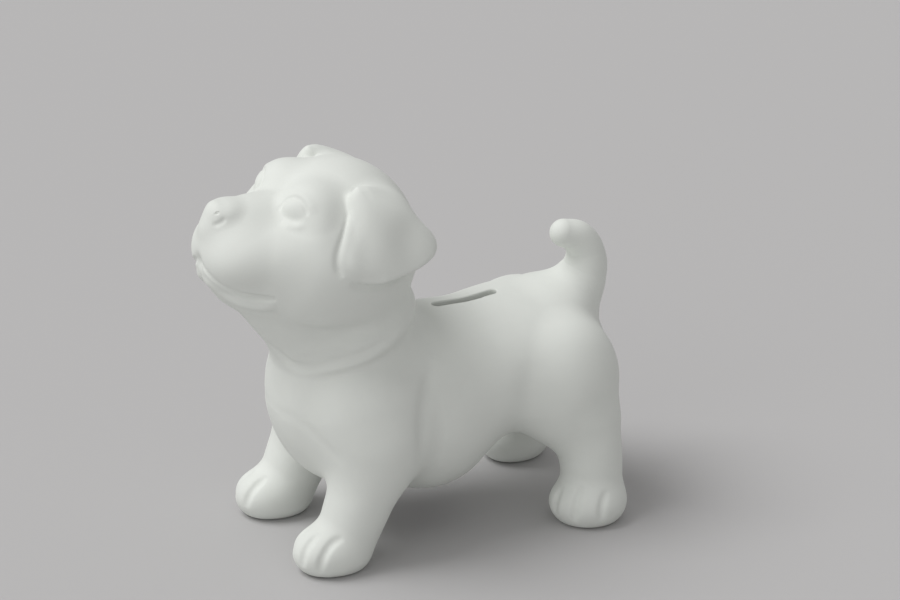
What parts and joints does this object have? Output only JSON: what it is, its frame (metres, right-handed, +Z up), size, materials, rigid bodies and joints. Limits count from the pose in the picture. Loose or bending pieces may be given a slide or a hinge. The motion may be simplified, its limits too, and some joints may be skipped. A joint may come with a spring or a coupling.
{
  "type": "puppy coin bank",
  "caption": "Hollow white ceramic puppy that stands with its head raised, with a coin slot along the back and a pull-out rubber bung in the belly.",
  "frame": {"origin": "middle of the overall length and width, on the plane the paws stand on", "axes": "the puppy faces -Y, its left side is +X, and +Z is up"},
  "size_m": [0.1042, 0.1953, 0.1754],
  "materials": {
    "bisque": "matte unglazed white earthenware, sponged smooth, with a few pinholes",
    "stopper_rubber": "soft matte black moulded rubber"
  },
  "bodies": {
    "bank": {"torso_casting": "bisque", "head_casting": "bisque", "ear_left": "bisque", "ear_right": "bisque", "front_leg_left": "bisque", "front_leg_right": "bisque", "hind_leg_left": "bisque", "hind_leg_right": "bisque", "tail_casting": "bisque"},
    "stopper": {"belly_stopper": "stopper_rubber"}
  },
  "joints": [
    {"name": "stopper_pull", "type": "slide", "parent": "bank", "child": "stopper", "axis": [0, 0, -1], "range_m": [0, 0.02]}
  ]
}
